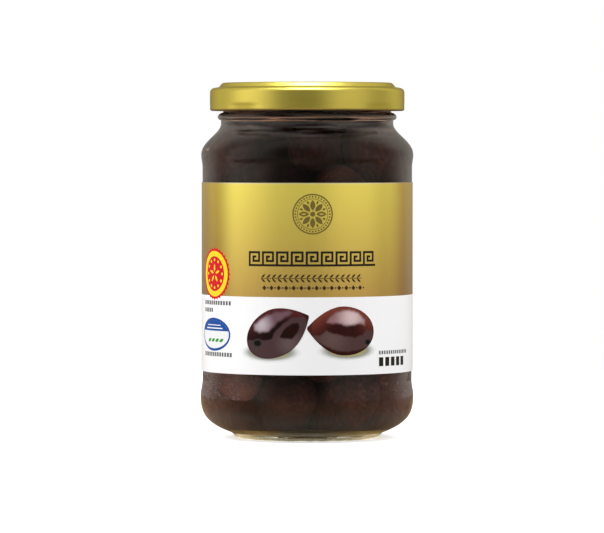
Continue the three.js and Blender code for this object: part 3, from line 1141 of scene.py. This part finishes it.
def key_shape(cell):
    """One unit of a Greek key on a grid of seven by seven cells."""
    strokes = (
        (0, 0, 1, 7),
        (1, 6, 6, 7),
        (5, 2, 6, 6),
        (2, 2, 5, 3),
        (2, 3, 3, 5),
        (3, 4, 4, 5),
        (1, 0, 7, 1),
    )
    return [box_shape(*(cell * c for c in stroke)) for stroke in strokes]


def fruit_outline(half_long, half_wide, tilt):
    """Outline of a pictured olive: pointed at its right end before it is tilted, in degrees."""
    c, s = math.cos(math.radians(tilt)), math.sin(math.radians(tilt))

    def edge(turn):
        front = max(0.0, math.cos(turn))
        u = half_long * (math.cos(turn) + 0.05 * front**10 + 0.05 * front**60)
        v = half_wide * math.sin(turn) * (1 - 0.3 * front**2)
        return u * c - v * s, u * s + v * c

    return edge


def polar_faces(edge, rings, slices, x=0.0, z=0.0):
    """Faces that fill an outline from its middle, fine enough to carry a picture."""
    outline = [edge(TAU * k / slices) for k in range(slices)]

    def point(i, k):
        u, v = outline[k % slices]
        return x + u * i / rings, z + v * i / rings

    faces = [[point(0, 0), point(1, k), point(1, k + 1)] for k in range(slices)]
    for i in range(1, rings):
        for k in range(slices):
            faces.append([point(i, k), point(i + 1, k), point(i + 1, k + 1), point(i, k + 1)])
    return faces


def step_between(low, high, value):
    t = min(1.0, max(0.0, (value - low) / (high - low)))
    return t * t * (3 - 2 * t)


def blend(a, b, share):
    return tuple(p + (q - p) * share for p, q in zip(a, b))


def depth_inside(outline, x, z):
    """How far a place lies inside a closed outline, negative when it is outside."""
    nearest, inside = math.inf, False
    for (x0, z0), (x1, z1) in zip(outline, outline[1:] + outline[:1]):
        dx, dz = x1 - x0, z1 - z0
        t = min(1.0, max(0.0, ((x - x0) * dx + (z - z0) * dz) / (dx * dx + dz * dz)))
        nearest = min(nearest, math.hypot(x - x0 - t * dx, z - z0 - t * dz))
        if (z0 > z) != (z1 > z) and x < x0 + (z - z0) / (z1 - z0) * dx:
            inside = not inside
    return nearest if inside else -nearest


def fruit_paint(middle, half_long, half_wide, tilt, skin, warm, fields, scar):
    """Colours of a glossy olive in a white room.

    A field is an outline, how soft its edge is, its colour, and the colour, place and reach of its
    brightest spot. Places are in millimetres from the middle of the olive.
    """
    c, s = math.cos(math.radians(tilt)), math.sin(math.radians(tilt))

    def paint(x, z):
        x, z = x - middle[0], z - middle[1]
        rim = math.hypot((x * c + z * s) / half_long, (z * c - x * s) / half_wide)
        ragged = 0.09 * math.sin(1.7 * x + 1.1 * z) + 0.05 * math.sin(2.9 * x - 2.3 * z)
        warmth = step_between(0.3, 1.0, rim) * step_between(-0.5, 0.7, z / half_wide)
        shade = blend(skin, warm, warmth)
        for outline, soft, tone, bright, (spot_x, spot_z), reach in fields:
            away = math.hypot(x - spot_x, z - spot_z) / reach
            depth = depth_inside(outline, x, z) + ragged * min(1.0, soft * 2)
            share = step_between(-soft, soft, depth)
            shade = blend(shade, blend(bright, tone, step_between(0.0, 1.0, away)), share)
        shade = blend(shade, skin, step_between(0.93, 1.03, rim) * 0.6)
        spot = math.hypot((x - scar[0]) / scar[2], (z - scar[1]) / scar[3])
        shade = blend(shade, (0.045, 0.035, 0.037), step_between(1.15, 0.95, spot))
        return blend(shade, (0.006, 0.004, 0.004), step_between(0.8, 0.6, spot))

    return paint


def shadow_paint(middle, half, paper):
    """A soft shadow with a thin rim of golden oil, which fades into the paper."""

    def paint(x, z):
        far = math.hypot((x - middle[0]) / half[0], (z - middle[1]) / half[1])
        shade = blend((0.30, 0.30, 0.26), tuple(paper), step_between(0.62, 1.0, far))
        return blend(shade, (0.40, 0.35, 0.16), step_between(0.64, 0.60, far))

    return paint


def flat_shape(name, faces, layer=0, paint=None):
    """A thin flat print: x runs round the jar, z is up and y is minus its height over the paper."""
    ink = bpy.context.scene.jar_label.ink
    shape = bmesh.new()
    for face in faces:
        shape.faces.new([shape.verts.new((x * MM, -layer * ink, z * MM)) for x, z in face])
    bmesh.ops.remove_doubles(shape, verts=shape.verts, dist=1e-6)
    reach = int(max(abs(v.co.x) for v in shape.verts) / MM) + 1
    for cut in range(-reach, reach + 1) if paint is None else ():
        bmesh.ops.bisect_plane(
            shape,
            geom=[*shape.verts, *shape.edges, *shape.faces],
            plane_co=(cut * MM, 0, 0),
            plane_no=(1, 0, 0),
        )
    raised = bmesh.ops.extrude_face_region(shape, geom=shape.faces[:])["geom"]
    raised = [part for part in raised if isinstance(part, bmesh.types.BMVert)]
    bmesh.ops.translate(shape, verts=raised, vec=(0, -ink, 0))
    bmesh.ops.recalc_face_normals(shape, faces=shape.faces[:])
    mesh = bpy.data.meshes.new(name)
    shape.to_mesh(mesh)
    shape.free()
    if paint:
        colours = [c for v in mesh.vertices for c in rgba(paint(v.co.x / MM, v.co.z / MM))]
        mesh.attributes.new("paint", "FLOAT_COLOR", "POINT").data.foreach_set("color", colours)
    piece = bpy.data.objects.new(name, mesh)
    bpy.context.scene.collection.objects.link(piece)
    return piece


def print_tree():
    """Geometry nodes: repeats a flat motif in a row or a ring and wraps it round the label."""
    floats = ("Start", "Pitch", "Height", "Ring", "Turn", "Label radius")
    inputs = {"Count": "Int", **dict.fromkeys(floats, "Float"), "Material": "Material"}
    tree, given = new_tree("printed_motif", inputs)

    def vector(**axes):
        return add(tree, "ShaderNodeCombineXYZ", axes).outputs["Vector"]

    index = add(tree, "GeometryNodeInputIndex").outputs["Index"]
    turn = maths(tree, "MULTIPLY", index, given["Turn"])
    row = maths(tree, "MULTIPLY_ADD", index, given["Pitch"], given["Start"])
    across = maths(tree, "MULTIPLY_ADD", maths(tree, "SINE", turn), given["Ring"], row)
    up = maths(tree, "MULTIPLY_ADD", maths(tree, "COSINE", turn), given["Ring"], given["Height"])
    spots = {"Count": given["Count"], "Position": vector(X=across, Z=up)}
    spots = add(tree, "GeometryNodePoints", spots).outputs[0]
    lean = add(tree, "FunctionNodeEulerToRotation", {"Euler": vector(Y=turn)}).outputs["Rotation"]
    copies = real_copies(tree, spots, given["Geometry"], lean)
    x, y, z = axes_of(tree, add(tree, "GeometryNodeInputPosition").outputs["Position"])
    angle = maths(tree, "DIVIDE", x, given["Label radius"])
    reach = maths(tree, "SUBTRACT", given["Label radius"], y)
    right = maths(tree, "MULTIPLY", maths(tree, "SINE", angle), reach)
    front = maths(tree, "MULTIPLY", maths(tree, "COSINE", angle), reach)
    wrapped = vector(X=right, Y=maths(tree, "MULTIPLY", front, -1.0), Z=z)
    return close_tree(tree, copies, given["Material"], Position=wrapped)


INKS = {
    "dark": (0.018, 0.015, 0.010),
    "brown": (0.045, 0.027, 0.013),
    "olive": (0.155, 0.115, 0.025),
    "grey": (0.13, 0.13, 0.13),
    "red": (0.62, 0.010, 0.018),
    "yellow": (0.95, 0.66, 0.02),
    "white": (0.82, 0.82, 0.83),
    "blue": (0.012, 0.075, 0.32),
    "green": (0.05, 0.30, 0.035),
}


def ink_material(name):
    """A flat ink with the faint mottle of print. The picture takes its colours from the mesh."""
    made, tree, shader, place = material(name + "_ink")
    if name == "picture":
        base = add(tree, "ShaderNodeAttribute", attribute_name="paint").outputs["Color"]
    else:
        base = rgba(INKS[name])
    mottle = ramp(tree, noise(tree, place, 1500.0, 2.0), [(0.3, 0.92), (0.7, 1.0)])
    tint = multiplied(tree, base, mottle)
    set_inputs(shader, Base_Color=tint, Roughness=0.45, Specular_IOR_Level=0.1)
    return made


# The outlines of light in each pictured olive, from its middle, in millimetres
LEFT_SKY = (
    *((-7.8, 0.8), (-7.8, 2.5), (-4.1, 5.2), (-0.2, 6.8), (4.7, 7.4), (5.7, 6.8)),
    *((4.2, 5.7), (0.8, 3.7), (-0.9, 2.0), (-2.4, 0.5), (-5.6, 0.0)),
)
LEFT_PAPER = (
    *((-11, -2.4), (-7.8, -2.9), (-6.4, -2.3), (-4.1, -2.7), (-1.2, -2.1), (-0.8, -0.2)),
    *((2.3, 2.8), (5.5, 5.1), (10.2, 5.4), (12, 2), (8, -6), (-2, -11), (-12, -8)),
)
LEFT_GAP = (
    *((1.4, -1.5), (2.5, 0.8), (5.5, 3.1), (7.7, 3.4)),
    *((8.1, 2.2), (7.2, -0.3), (5.4, -2.1), (2.8, -1.9)),
)
RIGHT_SKY = (
    *((-6.0, 2.9), (-4.5, 5.0), (-2.1, 6.4), (1.9, 6.9), (5.3, 5.8), (7.9, 3.5), (7.8, 1.9)),
    *((6.5, 2.5), (3.4, 2.1), (1.1, 1.7), (-1.1, 2.5), (-4.0, 2.6)),
)
RIGHT_PAPER = (
    *((-12, -1.4), (-8.5, -1.6), (-6.0, 0.0), (-4.0, -0.8), (-0.1, -1.7), (3.9, -2.3), (6.8, -1.5)),
    *((8.6, 0.2), (12, -0.5), (9.6, -5.4), (4.8, -6.6), (0, -7.0), (-4.0, -6.2), (-8.0, -4.2)),
)
# Each pictured olive: middle, half length, half width and tilt, its dark and its warm skin,
# the fields of light on it, its stem scar, and how far its shadow lies to the right
PICTURED_OLIVES = (
    (
        ((-10.7, 37.3), 11.4, 7.9, 27.0),
        ((0.010, 0.003, 0.003), (0.085, 0.016, 0.018)),
        (
            (LEFT_SKY, 0.7, (0.155, 0.080, 0.100), (0.50, 0.42, 0.45), (-5.2, 2.6), 5.5),
            (LEFT_PAPER, 0.35, (0.070, 0.036, 0.038), (0.120, 0.080, 0.080), (4.6, -3.6), 6.0),
            (LEFT_GAP, 0.4, (0.014, 0.004, 0.003), (0.018, 0.004, 0.003), (5, 1), 3.0),
        ),
        (-6.6, -3.6, 1.9, 1.4),
        -2.2,
    ),
    (
        ((12.5, 37.9), 11.5, 8.2, 176.0),
        ((0.030, 0.005, 0.004), (0.190, 0.042, 0.028)),
        (
            (RIGHT_SKY, 0.7, (0.27, 0.140, 0.145), (0.68, 0.50, 0.50), (2.8, 4.6), 7.0),
            (RIGHT_PAPER, 0.45, (0.076, 0.038, 0.037), (0.120, 0.068, 0.062), (-4.2, -2.4), 8.0),
        ),
        (9.0, -3.9, 1.35, 1.1),
        1.6,
    ),
)
SHADOW_DROP = 6.6
SHADOW_HALF = (11.0, 3.4)


def row_of(start, height, count, pitch):
    return {"Start": start, "Height": height, "Count": count, "Pitch": pitch}


def ring_of(middle, count, radius):
    return {**middle, "Count": count, "Ring": radius, "Turn": TAU / count}


def ornament(middle):
    """A flower in rings, over a Greek key, a twig and a row of lozenges."""
    medal = {"Start": middle, "Height": 77.0}
    twig = [leaf_shape((0, 0.1), 1.9, 0.62, 48), leaf_shape((0, -0.1), 1.9, 0.62, 132)]
    twig.append(box_shape(0, -0.09, 1.9, 0.09))
    lozenges = [[(-0.75, 0), (0, -0.85), (0.75, 0), (0, 0.85)], disc_shape(0.28, 10, x=1.28)]
    return (
        ("olive", ring_shape(6.35, 6.8), 0, medal),
        ("olive", [disc_shape(0.3, 10)], 0, ring_of(medal, 36, 5.8)),
        ("olive", ring_shape(5.0, 5.2), 0, medal),
        ("olive", [leaf_shape((0, 0), 3.5, 1.7)], 0, ring_of(medal, 8, 1.2)),
        ("olive", [leaf_shape((1.35, 3.26), 1.2, 0.7, 22.5)], 0, ring_of(medal, 8, 0.001)),
        ("olive", [disc_shape(0.85, 16)], 0, medal),
        ("dark", key_shape(0.72), 0, row_of(middle - 22.5, 59.5, 9, 5.04)),
        ("brown", twig, 0, row_of(middle - 17.7, 55.5, 18, 1.95)),
        ("brown", lozenges, 0, row_of(middle - 16.6, 52.3, 14, 2.56)),
    )


def badges():
    """A scalloped round badge over an oval one, in layers."""
    seal = {"Start": -37.9, "Height": 56.6}
    oval = {"Start": -38.4, "Height": 36.1}
    bars = [box_shape(-5.5, 1.9, 5.5, 2.3), box_shape(-4.5, 3.0, 4.5, 3.3)]
    return (
        ("red", [disc_shape(8.6, 192, scallop=0.03, scallops=32)], 0, seal),
        ("yellow", ring_shape(5.9, 7.7, 64), 1, seal),
        ("yellow", [disc_shape(0.5, 10)], 1, ring_of(seal, 12, 4.7)),
        ("yellow", [leaf_shape((0, 0), 2.6, 0.9)], 1, ring_of(seal, 5, 0.7)),
        ("blue", [disc_shape(9.5, 96, squash=0.59)], 0, oval),
        ("white", [disc_shape(8.8, 96, squash=0.54)], 1, oval),
        ("blue", [disc_shape(8.8, 48, squash=0.54)[2:23]], 2, oval),
        ("white", bars, 3, oval),
        ("green", [leaf_shape((0, 0), 2.6, 1.1, 70)], 2, row_of(-42.6, 33.7, 4, 2.6)),
    )


def lines():
    """Rows of short bars: ink, width, bottom, top, start, how many and how far apart."""
    rows = (
        ("grey", 1.0, 46.1, 47.5, -46.2, 12, 1.5),
        ("grey", 1.0, 43.6, 45.0, -46.2, 5, 1.5),
        ("grey", 0.95, 28.7, 30.1, -46.2, 13, 1.42),
        ("grey", 0.75, 29.7, 30.9, 26.4, 14, 1.2),
        ("dark", 2.0, 25.7, 28.7, 26.4, 5, 3.0),
    )
    return [
        (ink, [box_shape(0, low, wide, high)], 0, row_of(start, 0.0, count, pitch))
        for ink, wide, low, high, start, count, pitch in rows
    ]


def picture(paper):
    """The two pictured olives, each over its soft shadow."""
    prints = []
    wide, high = SHADOW_HALF

    def shadow_edge(turn):
        return wide * math.cos(turn), high * math.sin(turn)

    for place, skins, fields, scar, aside in PICTURED_OLIVES:
        (x, z), half_long, half_wide, tilt = place
        shade = (x + aside, z - SHADOW_DROP)
        patch = polar_faces(shadow_edge, 14, 80, *shade)
        prints.append(("picture", patch, 0, {}, shadow_paint(shade, SHADOW_HALF, paper)))
        fruit = polar_faces(fruit_outline(half_long, half_wide, tilt), 40, 140, x, z)
        prints.append(("picture", fruit, 1, {}, fruit_paint(*place, *skins, fields, scar)))
    return prints


def artwork(label):
    """Each printed piece's motifs: ink, faces, layer and how the tree repeats them."""
    return {
        "label_ornament": ornament(label.artwork_shift / MM),
        "label_badges": badges(),
        "label_lines": lines(),
        "label_picture": picture(tuple(label.white)),
    }


class JAR_OT_print(bpy.types.Operator):
    """Prints the ornaments, badges, lines and the two pictured olives on the label"""

    bl_idname = "jar.print"
    bl_label = "Label print"

    def execute(self, context):
        tree, inks = print_tree(), {}
        for name, motifs in artwork(context.scene.jar_label).items():
            parts = []
            for ink, faces, layer, places, *paint in motifs:
                if ink not in inks:
                    inks[ink] = ink_material(ink)
                motif = flat_shape(name, faces, layer, *paint)
                motif.data.materials.append(inks[ink])
                lengths = {"Pitch": 0.0, "Start": 0.0, "Height": 0.0, "Ring": 0.0}
                values = {"Count": 1, "Turn": 0.0, **lengths, **places}
                values.update({key: values[key] * MM for key in lengths})
                values.update({"Label radius": LABEL_RADIUS, "Material": inks[ink]})
                parts.append(run_tree(motif, tree, values))
            keep(joined(name, parts), "label_paper")
        return {"FINISHED"}


# Stage


CAMERA_HEIGHT = 0.100
CAMERA_DISTANCE = 1.5
PHOTO_WIDTH = 604
PHOTO_HEIGHT = 533
JAR_AXIS_PX = 307.2
JAR_FOOT_PX = 437.6
MM_PER_PX = 0.342
# Brightness of the surroundings by azimuth in degrees: 0 is the camera's side, 90 is the right
PANORAMA = (
    (-180, 0.3),
    (-130, 0.7),
    (-108, 0.5),
    (-82, 1.2),
    (-62, 1.05),
    (-28, 0.2),
    (10, 0.14),
    (38, 0.7),
    (62, 0.68),
    (95, 0.35),
    (130, 0.75),
    (180, 0.3),
)
CEILING = 0.6
FLOOR_RADIUS = 0.45
FLOOR_SIDES = 96
DIFFUSE_SKY = 0.6
MIRROR_TINT = (1.0, 0.90, 0.80)
SENSOR = 36.0  # width, in millimetres


def softbox(name, azimuth, distance, height, size, power, aim=0.06, only=None):
    """A rectangular lamp that faces the jar. Azimuth 0 is the camera's side, 90 is the right.

    It leaves no mirror image, unless it is kept for only one piece.
    """
    lamp = bpy.data.lights.new(name, "AREA")
    lamp.shape = "RECTANGLE"
    lamp.size, lamp.size_y = size
    lamp.energy = power
    turn = math.radians(azimuth)
    box = bpy.data.objects.new(name, lamp)
    box.location = (distance * math.sin(turn), -distance * math.cos(turn), height)
    box.rotation_euler = (Vector((0, 0, aim)) - box.location).to_track_quat("-Z", "Y").to_euler()
    bpy.context.scene.collection.objects.link(box)
    box.visible_transmission = False
    box.visible_glossy = only is not None
    if only:
        lit = bpy.data.collections.new(name)
        lit.objects.link(bpy.data.objects[only])
        box.light_linking.receiver_collection = lit


def studio_world():
    """A lit backdrop, two pale panels at the sides and a dim front, all with soft borders."""
    world = bpy.data.worlds.new("studio")
    bpy.context.scene.world = world
    world.use_nodes = True
    tree = world.node_tree
    tree.nodes.clear()
    axes = axes_of(tree, add(tree, "ShaderNodeTexCoord").outputs["Generated"])
    up = share_between(tree, axes["Z"], 0.6, 0.97)
    strength = mixed(tree, up, shade_round(tree, axes, PANORAMA), CEILING, "FLOAT")
    path = add(tree, "ShaderNodeLightPath").outputs
    strength = mixed(tree, path["Is Diffuse Ray"], strength, DIFFUSE_SKY, "FLOAT")
    strength = mixed(tree, path["Is Camera Ray"], strength, 1.0, "FLOAT")
    tint = mixed(tree, path["Is Glossy Ray"], rgba((1, 1, 1)), rgba(MIRROR_TINT))
    light = add(tree, "ShaderNodeBackground", {"Color": tint, "Strength": strength})
    add(tree, "ShaderNodeOutputWorld", {"Surface": light.outputs["Background"]})


def floor_material():
    """Pale to the camera and through the glass, and browner in what the jar mirrors."""
    made, tree, shader, place = material("pale_floor")
    shade = ramp(tree, noise(tree, place, 3.0), [(0.0, 0.86), (1.0, 0.88)])
    away = add(tree, "ShaderNodeVectorMath", {0: place}, operation="LENGTH").outputs["Value"]
    mirrored = ramp(tree, away, [(0.06, (0.27, 0.20, 0.11)), (0.35, (0.2, 0.17, 0.13))])
    path = add(tree, "ShaderNodeLightPath").outputs
    seen, through = path["Is Camera Ray"], path["Is Transmission Ray"]
    tone = mixed(tree, path["Is Glossy Ray"], rgba((0.33, 0.33, 0.33)), mirrored)
    tone = mixed(tree, seen, mixed(tree, through, tone, shade), shade)
    glow = maths(tree, "MULTIPLY_ADD", through, 0.15, maths(tree, "MULTIPLY", seen, 0.6))
    set_inputs(
        shader, Base_Color=tone, Emission_Color=shade, Emission_Strength=glow, Roughness=0.9
    )
    return made


class JAR_OT_stage(bpy.types.Operator):
    """Sets the pale floor, the soft lights and the camera"""

    bl_idname = "jar.stage"
    bl_label = "Stage"

    def execute(self, context):
        scene = context.scene
        scene.view_settings.view_transform = "Standard"
        self.add_floor()
        studio_world()
        softbox("left_softbox", -76, 0.8, 0.75, (0.5, 0.5), 9.0)
        softbox("right_softbox", 66, 0.9, 0.80, (0.5, 0.5), 7.0)
        softbox("top_softbox", 0, 0.25, 1.3, (1.3, 1.3), 9.8, aim=0.0)
        softbox("lid_softbox", 0, 0.3, 1.1, (0.8, 1.1), 4.2, aim=0.12, only="twist_off_lid")
        softbox("ring_softbox", 0, 0.28, 1.25, (0.45, 0.45), 8.0, aim=0.12, only="twist_off_lid")
        self.add_camera(scene)
        return {"FINISHED"}

    def add_floor(self):
        turns = [TAU * i / FLOOR_SIDES for i in range(FLOOR_SIDES)]
        rim = [(FLOOR_RADIUS * math.sin(t), FLOOR_RADIUS * math.cos(t), 0) for t in turns]
        floor = new_object("floor", rim, [tuple(range(FLOOR_SIDES - 1, -1, -1))], smooth=False)
        floor.data.materials.append(floor_material())

    def add_camera(self, scene):
        camera = bpy.data.objects.new("camera", bpy.data.cameras.new("camera"))
        field = PHOTO_WIDTH * MM_PER_PX * MM
        camera.data.sensor_width = SENSOR
        camera.data.lens = SENSOR * CAMERA_DISTANCE / field
        side = (PHOTO_WIDTH / 2 - JAR_AXIS_PX) * MM_PER_PX * MM
        aim = Vector((side, 0, (JAR_FOOT_PX - PHOTO_HEIGHT / 2) * MM_PER_PX * MM))
        camera.location = (side, -CAMERA_DISTANCE, CAMERA_HEIGHT)
        camera.rotation_euler = (aim - camera.location).to_track_quat("-Z", "Y").to_euler()
        scene.collection.objects.link(camera)
        scene.camera = camera


# Panel and start


OPERATORS = (JAR_OT_glass, JAR_OT_lid, JAR_OT_olives, JAR_OT_label, JAR_OT_print, JAR_OT_stage)


class JAR_PT_panel(bpy.types.Panel):
    bl_label = "Jar of olives"
    bl_idname = "JAR_PT_panel"
    bl_space_type = "VIEW_3D"
    bl_region_type = "UI"
    bl_category = "Jar of olives"

    def draw(self, context):
        for operator in OPERATORS:
            self.layout.operator(operator.bl_idname)
        for name, group in SETTINGS.items():
            box = self.layout.box()
            for key in group.__annotations__:
                box.prop(getattr(context.scene, name), key)


def register():
    for made in (*SETTINGS.values(), *OPERATORS, JAR_PT_panel):
        bpy.utils.register_class(made)
    for name, group in SETTINGS.items():
        setattr(bpy.types.Scene, name, PointerProperty(type=group))


def unregister():
    for name in SETTINGS:
        delattr(bpy.types.Scene, name)
    for made in (JAR_PT_panel, *reversed(OPERATORS), *reversed(SETTINGS.values())):
        bpy.utils.unregister_class(made)


def main():
    register()
    for operator in OPERATORS:
        group, name = operator.bl_idname.split(".")
        getattr(getattr(bpy.ops, group), name)()


if __name__ == "__main__":
    main()
